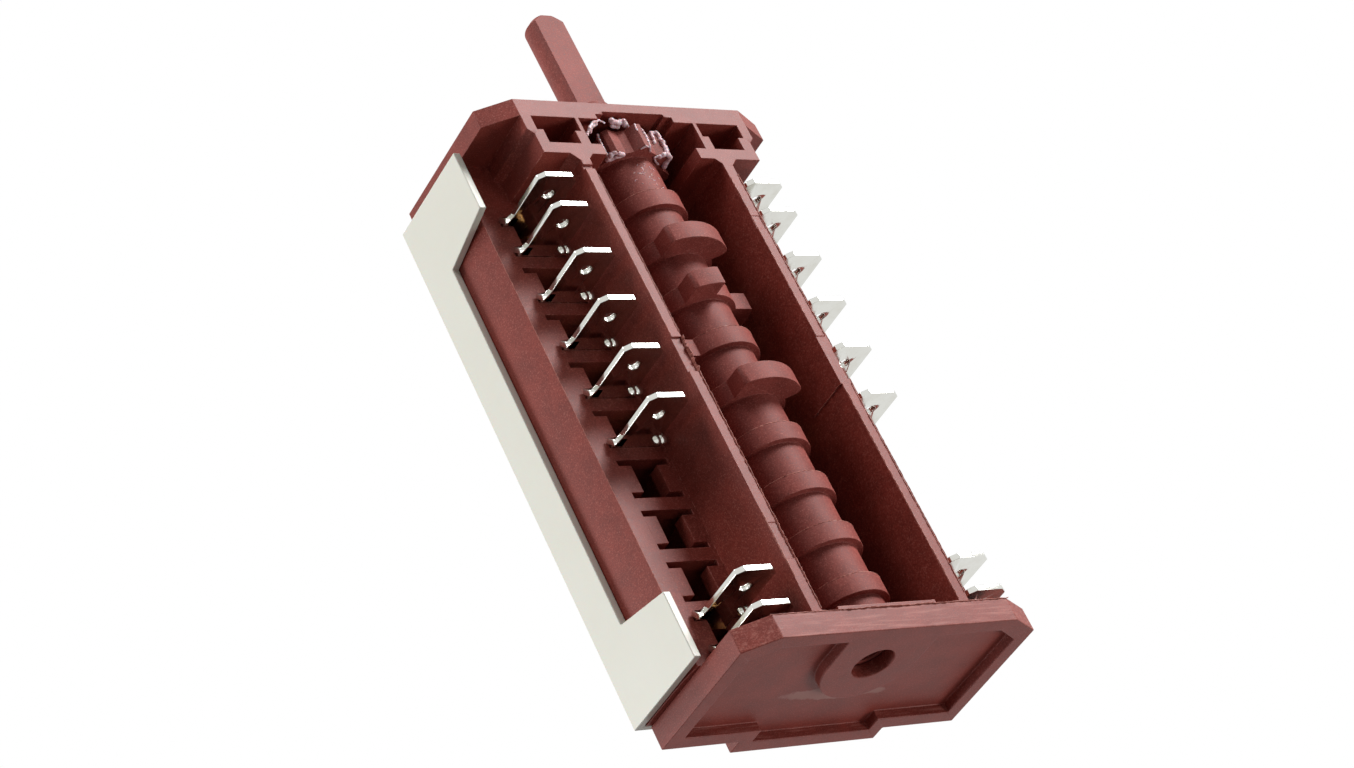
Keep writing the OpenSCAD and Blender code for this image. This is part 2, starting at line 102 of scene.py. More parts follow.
# Colours as the photograph shows them in plain light
THERMOSET_MID = srgb(128, 50, 40)
THERMOSET_DARK = srgb(108, 40, 31)
# Pale colour of rubbed edges and scratches, also laid on as painted edge highlights and painted glints
THERMOSET_PALE_RUB_AND_HIGHLIGHT = srgb(196, 134, 122)
THERMOSET_RUBBED = srgb(150, 104, 96)
THERMOSET_PIT = srgb(70, 22, 17)
# Thin flash: paler than the moulding, a painted highlight along the torn edges
FLASH_HIGHLIGHT_MID = srgb(190, 124, 112)
FLASH_HIGHLIGHT_DARK = srgb(140, 78, 68)
DRUM_MID = srgb(132, 58, 50)
DRUM_DARK = srgb(110, 46, 39)
PALE_PLASTIC = srgb(219, 218, 207)
PALE_SHADE = srgb(205, 203, 190)
NICKEL = srgb(216, 216, 210)
NICKEL_TARNISH = srgb(176, 168, 150)
STEEL = srgb(190, 190, 188)
BRONZE = srgb(205, 150, 96)
SILVER = srgb(232, 230, 226)
GREASE = srgb(222, 202, 208)
GREASE_DEEP = srgb(176, 132, 136)


def deselect_all():
    if bpy.context.object and bpy.context.object.mode != "OBJECT":
        bpy.ops.object.mode_set(mode="OBJECT")
    bpy.ops.object.select_all(action="DESELECT")


def make_active(piece):
    deselect_all()
    piece.select_set(True)
    bpy.context.view_layer.objects.active = piece


def edit_all(piece):
    """Enters edit mode with the whole piece selected."""
    make_active(piece)
    bpy.ops.object.mode_set(mode="EDIT")
    bpy.ops.mesh.select_all(action="SELECT")


def leave_edit():
    bpy.ops.object.mode_set(mode="OBJECT")


def apply_modifiers(piece):
    make_active(piece)
    for modifier in list(piece.modifiers):
        bpy.ops.object.modifier_apply(modifier=modifier.name)


def settle(piece):
    """Puts the place of a piece into its mesh."""
    make_active(piece)
    bpy.ops.object.transform_apply(location=True, rotation=True, scale=True)


def shade(piece, angle=32):
    make_active(piece)
    bpy.ops.object.shade_smooth_by_angle(angle=math.radians(angle))


def add_bevel(piece, width, segments=2, angle=28):
    """Rounds the edges of a piece that turn by more than the angle."""
    bevel = piece.modifiers.new("rounded edges", "BEVEL")
    bevel.width = width
    bevel.segments = segments
    bevel.limit_method = "ANGLE"
    bevel.angle_limit = math.radians(angle)
    bevel.use_clamp_overlap = False
    bevel.miter_outer = "MITER_ARC"
    bevel.harden_normals = False
    apply_modifiers(piece)


def moulded_copy(node, name, width, segments=2, angle=28, shape=None):
    """A copy of a solid of the model, shaped further and with its edges rounded."""
    piece = frame["nodes"][node].copy()
    piece.data = piece.data.copy()
    piece.name = name
    piece.parent = None
    bpy.context.scene.collection.objects.link(piece)
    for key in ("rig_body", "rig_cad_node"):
        del piece[key]
    edit_all(piece)
    bpy.ops.mesh.remove_doubles(threshold=0.002 * MM)
    if not shape:
        bpy.ops.mesh.dissolve_limited(angle_limit=math.radians(0.6))
    leave_edit()
    if shape:
        shape(piece)
    add_bevel(piece, width, segments, angle)
    edit_all(piece)
    bpy.ops.mesh.quads_convert_to_tris(ngon_method="CLIP")
    leave_edit()
    shade(piece)
    flat = piece.modifiers.new("flat faces", "WEIGHTED_NORMAL")
    flat.keep_sharp = True
    flat.weight = 100
    apply_modifiers(piece)
    return piece


def finish_piece(piece, body, material):
    """Gives a piece its finish and lets it ride on a body."""
    piece.data.materials.clear()
    piece.data.materials.append(material)
    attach(piece, body)
    return piece


class Tree:
    """A node tree that is filled in plain steps."""

    def __init__(self, tree):
        self.tree = tree

    def node(self, kind, **values):
        made = self.tree.nodes.new(kind)
        for key, value in values.items():
            setattr(made, key, value)
        return made

    def join(self, output, target):
        self.tree.links.new(output, target)

    def noise(self, vector, scale, detail=3.0, roughness=0.55):
        made = self.node("ShaderNodeTexNoise")
        made.inputs["Scale"].default_value = scale
        made.inputs["Detail"].default_value = detail
        made.inputs["Roughness"].default_value = roughness
        self.join(vector, made.inputs["Vector"])
        return made.outputs["Fac"]

    def remap(self, value, low, high, to_low=0.0, to_high=1.0):
        made = self.node("ShaderNodeMapRange")
        made.inputs["From Min"].default_value = low
        made.inputs["From Max"].default_value = high
        made.inputs["To Min"].default_value = to_low
        made.inputs["To Max"].default_value = to_high
        self.join(value, made.inputs["Value"])
        return made.outputs["Result"]

    def math(self, operation, first, second=None, third=None):
        made = self.node("ShaderNodeMath", operation=operation)
        for socket, value in zip(made.inputs, (first, second, third)):
            if value is None:
                continue
            if isinstance(value, (int, float)):
                socket.default_value = value
            else:
                self.join(value, socket)
        return made.outputs[0]

    def mix(self, factor, first, second):
        made = self.node("ShaderNodeMix", data_type="RGBA")
        sockets = (made.inputs[0], made.inputs[6], made.inputs[7])
        for socket, value in zip(sockets, (factor, first, second)):
            if hasattr(value, "is_linked"):
                self.join(value, socket)
            else:
                socket.default_value = value
        return made.outputs[2]


def new_group(name, inputs, outputs):
    """An empty node group with value inputs and given outputs, and its two end nodes."""
    group = bpy.data.node_groups.new(name, "ShaderNodeTree")
    for label, default in inputs:
        socket = group.interface.new_socket(label, in_out="INPUT", socket_type="NodeSocketFloat")
        socket.default_value = default
    for label, kind in outputs:
        group.interface.new_socket(label, in_out="OUTPUT", socket_type=kind)
    tree = Tree(group)
    return tree, tree.node("NodeGroupInput"), tree.node("NodeGroupOutput")


def edge_rub_and_highlight_group():
    """Mask of the edges and corners, broken up as by handling, where the moulding is painted paler: partly rubbed,
    partly a painted edge highlight.
    """
    tree, start, end = new_group(
        "edge wear", [("Width", 0.25 * MM), ("Breakup", 900.0)], [("Mask", "NodeSocketFloat")])
    bevel = tree.node("ShaderNodeBevel", samples=6)
    tree.join(start.outputs["Width"], bevel.inputs["Radius"])
    geometry = tree.node("ShaderNodeNewGeometry")
    turned = tree.node("ShaderNodeVectorMath", operation="DOT_PRODUCT")
    tree.join(bevel.outputs["Normal"], turned.inputs[0])
    tree.join(geometry.outputs["Normal"], turned.inputs[1])
    edge = tree.remap(turned.outputs["Value"], 0.985, 0.86)
    place = tree.node("ShaderNodeTexCoord")
    noise = tree.node("ShaderNodeTexNoise")
    noise.inputs["Detail"].default_value = 4.0
    tree.join(place.outputs["Object"], noise.inputs["Vector"])
    tree.join(start.outputs["Breakup"], noise.inputs["Scale"])
    broken = tree.remap(noise.outputs["Fac"], 0.5, 0.62)
    tree.join(tree.math("MULTIPLY", edge, broken), end.inputs["Mask"])
    return tree.tree


def moulded_grain_group():
    """Skin of a moulding: a slow mottle, a fine grain and small pits."""
    tree, start, end = new_group(
        "moulded grain", [("Mottle Scale", 260.0), ("Grain Scale", 5000.0)],
        [("Mottle", "NodeSocketFloat"), ("Grain", "NodeSocketFloat"), ("Height", "NodeSocketFloat")])
    place = tree.node("ShaderNodeTexCoord").outputs["Object"]
    mottle = tree.node("ShaderNodeTexNoise")
    mottle.inputs["Detail"].default_value = 6.0
    mottle.inputs["Roughness"].default_value = 0.62
    tree.join(place, mottle.inputs["Vector"])
    tree.join(start.outputs["Mottle Scale"], mottle.inputs["Scale"])
    grain = tree.node("ShaderNodeTexNoise")
    grain.inputs["Detail"].default_value = 3.0
    grain.inputs["Roughness"].default_value = 0.7
    tree.join(place, grain.inputs["Vector"])
    tree.join(start.outputs["Grain Scale"], grain.inputs["Scale"])
    swell = tree.noise(place, 700.0, 2.0)
    height = tree.math("MULTIPLY_ADD", swell, 1.6, grain.outputs["Fac"])
    tree.join(tree.remap(mottle.outputs["Fac"], 0.32, 0.7), end.inputs["Mottle"])
    tree.join(grain.outputs["Fac"], end.inputs["Grain"])
    tree.join(height, end.inputs["Height"])
    return tree.tree


def use_group(tree, group, **values):
    made = tree.node("ShaderNodeGroup")
    made.node_tree = group
    for label, value in values.items():
        made.inputs[label.replace("_", " ")].default_value = value
    return made


def new_material(name):
    """A material with only its shader and output, and the shader itself."""
    material = bpy.data.materials.new(name)
    material.use_nodes = True
    tree = Tree(material.node_tree)
    shader = next(n for n in material.node_tree.nodes if n.type == "BSDF_PRINCIPLED")
    return material, tree, shader


def add_bump(tree, shader, height, strength, distance):
    bump = tree.node("ShaderNodeBump")
    bump.inputs["Strength"].default_value = strength
    bump.inputs["Distance"].default_value = distance
    tree.join(height, bump.inputs["Height"])
    tree.join(bump.outputs["Normal"], shader.inputs["Normal"])


def drag_marks_group():
    """Mask of fine streaks that run along X on the faces that look up."""
    tree, start, end = new_group(
        "drag marks", [("Streak Scale", 2600.0), ("Share", 0.5)], [("Mask", "NodeSocketFloat")])
    place = tree.node("ShaderNodeTexCoord").outputs["Object"]
    stretch = tree.node("ShaderNodeMapping")
    stretch.inputs["Rotation"].default_value = (0.0, 0.0, math.radians(8))
    stretch.inputs["Scale"].default_value = (0.07, 1.0, 1.0)
    tree.join(place, stretch.inputs["Vector"])
    streak = tree.node("ShaderNodeTexNoise")
    streak.inputs["Detail"].default_value = 4.0
    streak.inputs["Roughness"].default_value = 0.65
    tree.join(stretch.outputs["Vector"], streak.inputs["Vector"])
    tree.join(start.outputs["Streak Scale"], streak.inputs["Scale"])
    facing = tree.node("ShaderNodeSeparateXYZ")
    tree.join(tree.node("ShaderNodeNewGeometry").outputs["Normal"], facing.inputs[0])
    upward = tree.remap(facing.outputs["Z"], 0.3, 0.7)
    marks = tree.math("MULTIPLY", tree.remap(streak.outputs["Fac"], 0.5, 0.66), upward)
    tree.join(tree.math("MULTIPLY", marks, start.outputs["Share"]), end.inputs["Mask"])
    return tree.tree


def rubbed_patch_group():
    """Mask of one long pale patch, rubbed on the rear plate below its hole."""
    tree, start, end = new_group("rubbed patch", [("Share", 0.6)], [("Mask", "NodeSocketFloat")])
    place = tree.node("ShaderNodeTexCoord").outputs["Object"]
    centred = tree.node("ShaderNodeMapping", vector_type="TEXTURE")
    centred.inputs["Location"].default_value = [part * MM for part in PATCH_PLACE]
    centred.inputs["Rotation"].default_value = (0.0, math.radians(-PATCH_TURN), 0.0)
    centred.inputs["Scale"].default_value = [part * MM for part in PATCH_REACH]
    tree.join(place, centred.inputs["Vector"])
    reach = tree.node("ShaderNodeVectorMath", operation="LENGTH")
    tree.join(centred.outputs["Vector"], reach.inputs[0])
    cloud = tree.noise(place, 520.0, 4.0, 0.6)
    ragged = tree.math("MULTIPLY_ADD", cloud, 1.1, reach.outputs["Value"])
    mask = tree.remap(ragged, 1.55, 1.35)
    tree.join(tree.math("MULTIPLY", mask, start.outputs["Share"]), end.inputs["Mask"])
    return tree.tree


def thermoset_material(name, mid, dark, wear_and_highlight=0.8, glint_fleck=0.38, rough=0.42, streaks=0.0, patch=0.0):
    """Red-brown moulded thermoset: mottled and grained, paler where faces have rubbed, with pale specks on the grain
    that are painted glints and paler edges that are partly rubbed and partly a painted edge highlight.
    """
    material, tree, shader = new_material(name)
    skin = use_group(tree, grain_group)
    worn_and_highlit = use_group(tree, rub_and_highlight_group, Width=0.16 * MM, Breakup=1500.0)
    base = tree.mix(skin.outputs["Mottle"], dark, mid)
    base = tree.mix(tree.remap(skin.outputs["Grain"], 0.48, 0.3, 0.0, 0.75), base, THERMOSET_PIT)
    # Pale specks on the grain: painted glints of light, not a colour of the moulding
    painted_glint = tree.remap(skin.outputs["Grain"], 0.54, 0.7)
    base = tree.mix(tree.math("MULTIPLY", painted_glint, glint_fleck), base, THERMOSET_PALE_RUB_AND_HIGHLIGHT)
    if streaks:
        marks = use_group(tree, marks_group, Share=streaks)
        base = tree.mix(marks.outputs["Mask"], base, THERMOSET_PALE_RUB_AND_HIGHLIGHT)
    if patch:
        rubbed = use_group(tree, patch_group, Share=patch)
        base = tree.mix(rubbed.outputs["Mask"], base, THERMOSET_RUBBED)
    # Paler edges: partly rubbed, partly a painted edge highlight
    edge = tree.math("MULTIPLY", worn_and_highlit.outputs["Mask"], wear_and_highlight)
    tree.join(tree.mix(edge, base, THERMOSET_PALE_RUB_AND_HIGHLIGHT), shader.inputs["Base Color"])
    tree.join(tree.remap(skin.outputs["Grain"], 0.3, 0.7, rough, rough + 0.18), shader.inputs["Roughness"])
    shader.inputs["Specular IOR Level"].default_value = 0.27
    add_bump(tree, shader, skin.outputs["Height"], 0.5, 0.035 * MM)
    return material


def pale_plastic_material():
    """Smooth warm white thermoplastic with faint flow and rubbed edges."""
    material, tree, shader = new_material("pale cover plastic")
    skin = use_group(tree, grain_group, Mottle_Scale=90.0, Grain_Scale=2600.0)
    base = tree.mix(tree.math("MULTIPLY", skin.outputs["Mottle"], 0.35), PALE_PLASTIC, PALE_SHADE)
    tree.join(base, shader.inputs["Base Color"])
    tree.join(tree.remap(skin.outputs["Mottle"], 0.0, 1.0, 0.36, 0.5), shader.inputs["Roughness"])
    shader.inputs["Subsurface Weight"].default_value = 0.08
    shader.inputs["Subsurface Scale"].default_value = 0.6 * MM
    add_bump(tree, shader, skin.outputs["Height"], 0.14, 0.03 * MM)
    return material


def metal_material(name, colour, tarnish, low, high, tarnish_share=0.35):
    """Plated or rolled metal with rolling marks along one way and a faint uneven tarnish."""
    material, tree, shader = new_material(name)
    place = tree.node("ShaderNodeTexCoord").outputs["Object"]
    stretch = tree.node("ShaderNodeMapping")
    stretch.inputs["Scale"].default_value = (1.0, 1.0, 0.06)
    tree.join(place, stretch.inputs["Vector"])
    lines = tree.noise(stretch.outputs["Vector"], 9000.0, 3.0, 0.6)
    cloud = tree.noise(place, 420.0, 4.0, 0.6)
    stain = tree.math("MULTIPLY", tree.remap(cloud, 0.45, 0.72), tarnish_share)
    tree.join(tree.mix(stain, colour, tarnish), shader.inputs["Base Color"])
    shader.inputs["Metallic"].default_value = 1.0
    tree.join(tree.remap(tree.math("ADD", lines, cloud), 0.7, 1.3, low, high), shader.inputs["Roughness"])
    add_bump(tree, shader, tree.math("MULTIPLY_ADD", cloud, 1.0, lines), 0.06, 0.006 * MM)
    return material


def grease_material():
    """Old switch grease: milky and pink from the dust of the moulding."""
    material, tree, shader = new_material("old grease")
    place = tree.node("ShaderNodeTexCoord").outputs["Object"]
    cloud = tree.noise(place, 1400.0, 4.0, 0.6)
    tree.join(tree.mix(tree.remap(cloud, 0.35, 0.65), GREASE_DEEP, GREASE), shader.inputs["Base Color"])
    tree.join(tree.remap(cloud, 0.3, 0.7, 0.36, 0.55), shader.inputs["Roughness"])
    shader.inputs["Subsurface Weight"].default_value = 0.25
    shader.inputs["Subsurface Scale"].default_value = 0.3 * MM
    add_bump(tree, shader, tree.noise(place, 3500.0, 3.0), 0.3, 0.04 * MM)
    return material


def make_camera():
    data = bpy.data.cameras.new("photo camera")
    camera = bpy.data.objects.new("photo camera", data)
    bpy.context.scene.collection.objects.link(camera)
    camera.location = CAMERA_PLACE
    camera.rotation_euler = [math.radians(angle) for angle in CAMERA_TURN]
    data.lens = CAMERA_LENS
    data.sensor_width = 36.0
    data.clip_start = 0.01
    data.clip_end = 20.0
    bpy.context.scene.camera = camera


def make_lamp(name, place, target, size, power):
    data = bpy.data.lights.new(name, "AREA")
    data.shape = "DISK"
    data.size = size
    data.energy = power
    lamp = bpy.data.objects.new(name, data)
    bpy.context.scene.collection.objects.link(lamp)
    lamp.location = place
    aim = Vector(target) - Vector(place)
    lamp.rotation_euler = aim.to_track_quat("-Z", "Y").to_euler()


def make_world(strength):
    """Plain white surroundings: full white to the eye and in reflections, softer as light."""
    world = bpy.data.worlds.new("pale room")
    bpy.context.scene.world = world
    world.use_nodes = True
    tree = Tree(world.node_tree)
    background = next(n for n in world.node_tree.nodes if n.type == "BACKGROUND")
    background.inputs["Color"].default_value = (1.0, 1.0, 1.0, 1.0)
    path = tree.node("ShaderNodeLightPath")
    seen = tree.math("MAXIMUM", path.outputs["Is Camera Ray"], path.outputs["Is Glossy Ray"])
    seen = tree.math("MAXIMUM", seen, path.outputs["Is Transmission Ray"])
    tree.join(tree.remap(seen, 0.0, 1.0, strength, 1.0), background.inputs["Strength"])


def make_scene_settings():
    scene = bpy.context.scene
    scene.view_settings.view_transform = "Standard"


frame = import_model()
random.seed(7)

rub_and_highlight_group = edge_rub_and_highlight_group()
grain_group = moulded_grain_group()
marks_group = drag_marks_group()
patch_group = rubbed_patch_group()
thermoset = thermoset_material("housing thermoset", THERMOSET_MID, THERMOSET_DARK)
plate_thermoset = thermoset_material("rear plate thermoset", THERMOSET_MID, THERMOSET_DARK, streaks=0.25, patch=0.75)
drum_thermoset = thermoset_material("drum thermoset", DRUM_MID, DRUM_DARK, glint_fleck=0.45, rough=0.54)
flash_highlight_thermoset = thermoset_material("thin flash thermoset painted pale as highlight", FLASH_HIGHLIGHT_MID, FLASH_HIGHLIGHT_DARK, wear_and_highlight=0.0)
pale_plastic = pale_plastic_material()
nickel = metal_material("nickel plate", NICKEL, NICKEL_TARNISH, 0.06, 0.16, tarnish_share=0.2)
spring_steel = metal_material("spring steel", STEEL, NICKEL_TARNISH, 0.18, 0.34)
spring_bronze = metal_material("spring bronze", BRONZE, srgb(150, 96, 60), 0.2, 0.36)
silver = metal_material("silver contact", SILVER, srgb(150, 140, 128), 0.15, 0.3)
grease = grease_material()


def box_between(low, high):
    """A box between two corners given in mm."""
    deselect_all()
    middle = [(a + b) / 2 * MM for a, b in zip(low, high)]
    bpy.ops.mesh.primitive_cube_add(size=1.0, location=middle)
    box = bpy.context.object
    box.scale = [abs(b - a) * MM for a, b in zip(low, high)]
    settle(box)
    return box


def join_pieces(pieces, name):
    """Joins pieces into the first of them."""
    deselect_all()
    for piece in pieces:
        piece.select_set(True)
    bpy.context.view_layer.objects.active = pieces[0]
    if len(pieces) > 1:
        bpy.ops.object.join()
    pieces[0].name = name
    return pieces[0]


def carve(piece, cutter):
    """Takes the space of a cutter out of a piece."""
    cut = piece.modifiers.new("carved", "BOOLEAN")
    cut.operation = "DIFFERENCE"
    cut.solver = "EXACT"
    cut.object = cutter
    apply_modifiers(piece)
    deselect_all()
    cutter.select_set(True)
    bpy.ops.object.delete()


def shape_housing(piece):
    """Uneven tops of the trough walls, as the mould's inserts left them."""
    left, right = (WALL_IN - 0.5, WALL_OUT + 0.5), (-WALL_OUT - 0.5, -WALL_IN + 0.5)
    cutters = []
    for (x0, x1), y0, y1, depth in (
            (left, 41.6, 47.3, 0.28), (left, 71.65, 77.25, 0.1), (left, 11.6, 12.3, 0.35),
            (right, 41.55, 49.7, 0.12), (right, 20.1, 22.4, 0.1)):
        cutters.append(box_between((x0, y0, WALL_TOP - depth), (x1, y1, WALL_TOP + 0.5)))
    carve(piece, join_pieces(cutters, "wall_top_cutter"))


def dress_mouldings():
    for node, name, slot, material, body, width, shape in (
            ("housing", "housing_moulding", "thermoset", thermoset, "body", 0.07 * MM, shape_housing),
            ("end_plate", "end_plate_moulding", "thermoset", plate_thermoset, "body", 0.14 * MM, None),
            ("base_cover", "base_cover_moulding", "pale_plastic", pale_plastic, "body", 0.16 * MM, None),
            ("camshaft", "camshaft_moulding", "drum_thermoset", drum_thermoset, "drum", 0.07 * MM, None)):
        piece = moulded_copy(node, name, width, shape=shape)
        finish_piece(piece, body, material)
        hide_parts(node)


def dress_metal():
    for node in frame["nodes"]:
        if "terminal" in node:
            slot, material, width = "nickel_plate", nickel, 0.1 * MM
        elif "blade" in node:
            slot, material, width = "spring_bronze", spring_bronze, 0.05 * MM
        elif "contacts" in node:
            slot, material, width = "silver_contact", silver, 0.15 * MM
        elif "detent" in node:
            slot, material, width = "spring_steel", spring_steel, 0.05 * MM
        else:
            continue
        piece = moulded_copy(node, node + "_metal", width)
        finish_piece(piece, "body", material)
        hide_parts(node)


def blade_faces():
    """Side of each terminal blade that stands up and the Y of its rear face, in mm."""
    places = []
    for node, solid in sorted(frame["nodes"].items()):
        if "terminal" not in node:
            continue
        high = [vertex.co for vertex in solid.data.vertices if vertex.co.z > BLADE_MIN_Z * MM]
        if high:
            places.append((math.copysign(1.0, high[0].x), max(point.y for point in high) / MM))
    return places


def make_pip():
    """Two flat domes side by side, as the press tool leaves them at the root of a blade."""
    domes = []
    for shift, size in ((-0.42, 0.72), (0.4, 0.66)):
        deselect_all()
        bpy.ops.mesh.primitive_uv_sphere_add(
            segments=20, ring_count=10, radius=size * MM, location=(shift * MM, 0, -0.12 * shift * MM))
        dome = bpy.context.object
        dome.scale = (1.1, 0.95, 0.78)
        settle(dome)
        domes.append(dome)
    return join_pieces(domes, "blade_pip")


def make_lug():
    """Twisted shoulder of a blade beside its slot."""
    deselect_all()
    bpy.ops.mesh.primitive_cube_add(size=1.0, location=(0, 0, 0))
    lug = bpy.context.object
    lug.name = "blade_lug"
    lug.scale = (2.2 * MM, 0.8 * MM, 1.7 * MM)
    settle(lug)
    for turn, share in ((26, 0.5), (22, 0.0)):
        edit_all(lug)
        bpy.ops.mesh.bisect(plane_co=(share * MM, 0, 0), plane_no=(1, 0, 0))
        bpy.ops.mesh.select_all(action="DESELECT")
        cage = bmesh.from_edit_mesh(lug.data)
        for vertex in cage.verts:
            vertex.select = vertex.co.x > (share + 0.05) * MM
        cage.select_flush(True)
        bmesh.update_edit_mesh(lug.data)
        bpy.ops.transform.rotate(value=math.radians(turn), orient_axis="X", center_override=(0, 0, 0))
        bpy.ops.transform.translate(value=(0, 0.1 * MM, 0))
        leave_edit()
    add_bevel(lug, 0.08 * MM, 2, 20)
    return lug


def make_hole_rim():
    """Pressed rim round the hole of a blade."""
    deselect_all()
    bpy.ops.mesh.primitive_torus_add(
        major_segments=44, minor_segments=12, major_radius=(HOLE_R + 0.02) * MM, minor_radius=0.13 * MM,
        rotation=(math.radians(90), 0, 0))
    rim = bpy.context.object
    rim.name = "hole_rim"
    settle(rim)
    return rim


def own_copy(piece, name):
    """A copy of a piece with its own mesh."""
    copy = piece.copy()
    copy.data = piece.data.copy()
    copy.name = name
    bpy.context.scene.collection.objects.link(copy)
    return copy


def add_blade_details():
    """Pressed marks, twisted shoulders and hole rims of all the terminal blades."""
    for make, x, y, z, name in (
            (make_pip, PIP_X, 0.1, PIP_Z, "terminal_pips"),
            (make_lug, LUG_X, -0.4, LUG_Z, "terminal_lugs"),
            (make_hole_rim, HOLE_X, -0.15, HOLE_Z, "terminal_hole_rims"),
            (make_hole_rim, HOLE_X, -0.65, HOLE_Z, "terminal_hole_rims_front")):
        model = make()
        copies = []
        for side, y_face in blade_faces():
            twin = own_copy(model, name)
            twin.location = (side * x * MM, (y_face + y) * MM, z * MM)
            twin.scale = (side, 1.0, 1.0)
            settle(twin)
            copies.append(twin)
        deselect_all()
        model.select_set(True)
        bpy.ops.object.delete()
        whole = join_pieces(copies, name)
        edit_all(whole)
        bpy.ops.mesh.normals_make_consistent(inside=False)
        leave_edit()
        shade(whole, 40)
        finish_piece(whole, "body", nickel)


def ragged_ridge(start, end, out, height, thickness=0.05, step=0.35, seed=1):
    """A thin torn ridge of moulding flash from start to end that stands out of an edge, all in mm."""
    start, end, out = Vector(start), Vector(end), Vector(out).normalized()
    run = end - start
    count = max(4, int(run.length / step))
    deselect_all()
    bpy.ops.mesh.primitive_grid_add(x_subdivisions=count, y_subdivisions=1, size=1.0, location=(0, 0, 0))
    ridge = bpy.context.object
    make_active(ridge)
    ridge.scale = (run.length * MM, (height + 0.05) * MM, 1.0)
    settle(ridge)
    bpy.ops.object.mode_set(mode="EDIT")
    bpy.ops.mesh.select_all(action="DESELECT")
    cage = bmesh.from_edit_mesh(ridge.data)
    for vertex in cage.verts:
        vertex.select = vertex.co.y > 0
    cage.select_flush(True)
    bmesh.update_edit_mesh(ridge.data)
    bpy.ops.transform.vertex_random(offset=height * 0.42 * MM, uniform=1.0, normal=0.0, seed=seed)
    leave_edit()
    along = run.normalized()
    across = along.cross(out)
    turn = Matrix((along, out, across)).transposed().to_4x4()
    middle = (start + end) / 2 + out * (height - 0.05) / 2
    ridge.matrix_world = Matrix.Translation(middle * MM) @ turn
    settle(ridge)
    plate = ridge.modifiers.new("thickness", "SOLIDIFY")
    plate.thickness = thickness * MM
    plate.offset = 0.0
    apply_modifiers(ridge)
    return ridge


def add_flash():
    """Torn flash along the edges of the housing and the rear plate, coloured pale as a painted highlight."""
    up = (0, 0, 1)
    housing_runs = [
        ((WALL_IN + 0.04, 41.6, 7.34), (WALL_IN + 0.04, 47.3, 7.34), up, 0.5),
        ((WALL_IN + 0.04, 47.3, WALL_TOP), (WALL_IN + 0.04, 84.9, WALL_TOP), up, 0.16),
        ((WALL_IN + 0.04, 13.5, WALL_TOP), (WALL_IN + 0.04, 40.8, WALL_TOP), up, 0.1),
        ((WALL_OUT - 0.04, 12.5, WALL_TOP), (WALL_OUT - 0.04, 41.4, WALL_TOP), up, 0.09),
        ((WALL_OUT - 0.04, 70.0, WALL_TOP), (WALL_OUT - 0.04, 80.0, WALL_TOP), up, 0.12),
        ((-WALL_IN - 0.04, 13.0, WALL_TOP), (-WALL_IN - 0.04, 41.5, WALL_TOP), up, 0.1),
        ((-WALL_IN - 0.04, 49.7, WALL_TOP), (-WALL_IN - 0.04, 84.9, WALL_TOP), up, 0.14),
        ((-WALL_OUT + 0.04, 12.5, WALL_TOP), (-WALL_OUT + 0.04, 41.5, WALL_TOP), up, 0.13),
        ((-WALL_OUT + 0.04, 49.7, WALL_TOP), (-WALL_OUT + 0.04, 84.0, WALL_TOP), up, 0.12),
        ((-WALL_IN + 0.02, 49.7, 0.5), (-WALL_IN + 0.02, 49.7, WALL_TOP), (1, 0, 0), 0.16),
        ((24.46, 14.0, -2.72), (24.46, 84.5, -2.72), (0.5, 0, 1), 0.08),
        ((-24.46, 14.0, -2.72), (-24.46, 84.5, -2.72), (-0.5, 0, 1), 0.08)]
    ridges = [ragged_ridge(*run, seed=11 + i) for i, run in enumerate(housing_runs)]
    whole = join_pieces(ridges, "housing_flash")
    finish_piece(whole, "body", flash_highlight_thermoset)
    plate_runs = [
        ((-19.6, 85.36, WALL_TOP), (-9.0, 85.36, WALL_TOP), up, 0.13),
        ((-9.0, 85.36, WALL_TOP), (9.0, 85.36, WALL_TOP), up, 0.2),
        ((9.0, 85.36, WALL_TOP), (19.6, 85.36, WALL_TOP), up, 0.1)]
    ridges = [ragged_ridge(*run, step=0.5, seed=41 + i) for i, run in enumerate(plate_runs)]
    whole = join_pieces(ridges, "rear_plate_flash")
    finish_piece(whole, "body", flash_highlight_thermoset)


def add_ring_flash():
    """Thin broken parting lines round the front edges of the cam rings, coloured pale as a painted highlight."""
    rings = []
    for ring in range(RING_COUNT):
        deselect_all()
        bpy.ops.mesh.primitive_torus_add(
            major_segments=110, minor_segments=5, major_radius=(RING_R - 0.02) * MM, minor_radius=0.05 * MM,
            location=(0, (RING_FIRST + RING_PITCH * ring + 0.03) * MM, 0), rotation=(math.radians(90), 0, 0))
        line = bpy.context.object
        settle(line)
        edit_all(line)
        bpy.ops.transform.vertex_random(offset=0.035 * MM, uniform=1.0, normal=0.0, seed=71 + ring)
        leave_edit()
        rings.append(line)
    whole = join_pieces(rings, "ring_flash")
    finish_piece(whole, "drum", flash_highlight_thermoset)


def polar(radius, angle, y):
    """Point at a radius and an angle from +Z towards +X on the drum, in mm."""
    turn = math.radians(angle)
    return Vector((radius * math.sin(turn), y, radius * math.cos(turn)))


